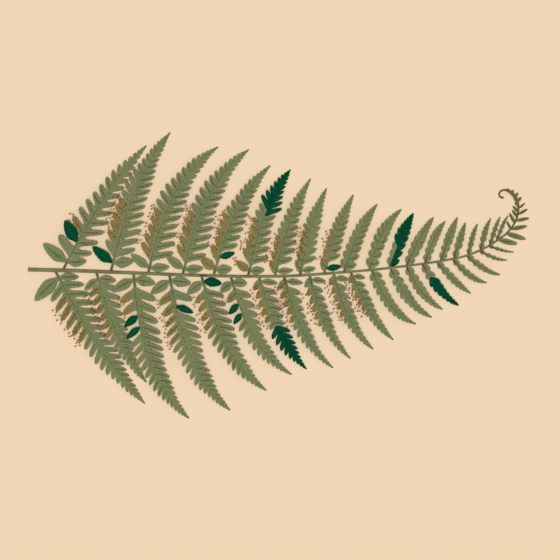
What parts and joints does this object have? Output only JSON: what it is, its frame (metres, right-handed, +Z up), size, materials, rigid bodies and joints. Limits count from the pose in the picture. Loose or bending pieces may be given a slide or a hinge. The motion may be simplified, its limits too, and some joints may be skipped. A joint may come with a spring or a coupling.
{
  "type": "dried fern frond",
  "caption": "Dried fern frond, pressed nearly flat and lying face up: a slim rachis with a curled tip, olive pinnae cut into pinnules, and scattered dark green patches.",
  "frame": {"origin": "on the surface that the frond lies on, under the middle of the frond's box", "axes": "+X from the cut end of the rachis towards the curled tip, +Y to the left of that as seen from above, +Z up from the surface"},
  "size_m": [0.376, 0.215, 0.0054],
  "materials": {
    "dried_olive_leaf": "matte",
    "dried_dark_green_leaf": "matte",
    "dried_rachis": "matte",
    "spore_dots": "matte"
  },
  "bodies": {
    "root": {"frond": "dried_olive_leaf", "dark_pinna_tip_1": "dried_dark_green_leaf", "dark_pinna_tip_2": "dried_dark_green_leaf", "dark_pinna_tip_3": "dried_dark_green_leaf", "dark_pinna_tip_4": "dried_dark_green_leaf", "dark_pinnule_1": "dried_dark_green_leaf", "dark_pinnule_2": "dried_dark_green_leaf", "dark_pinnule_3": "dried_dark_green_leaf", "dark_pinnule_4": "dried_dark_green_leaf", "dark_pinnule_5": "dried_dark_green_leaf", "dark_pinnule_6": "dried_dark_green_leaf", "dark_pinnule_7": "dried_dark_green_leaf", "dark_pinnule_8": "dried_dark_green_leaf", "dark_pinnule_9": "dried_dark_green_leaf", "dark_pinnule_10": "dried_dark_green_leaf"}
  },
  "joints": []
}
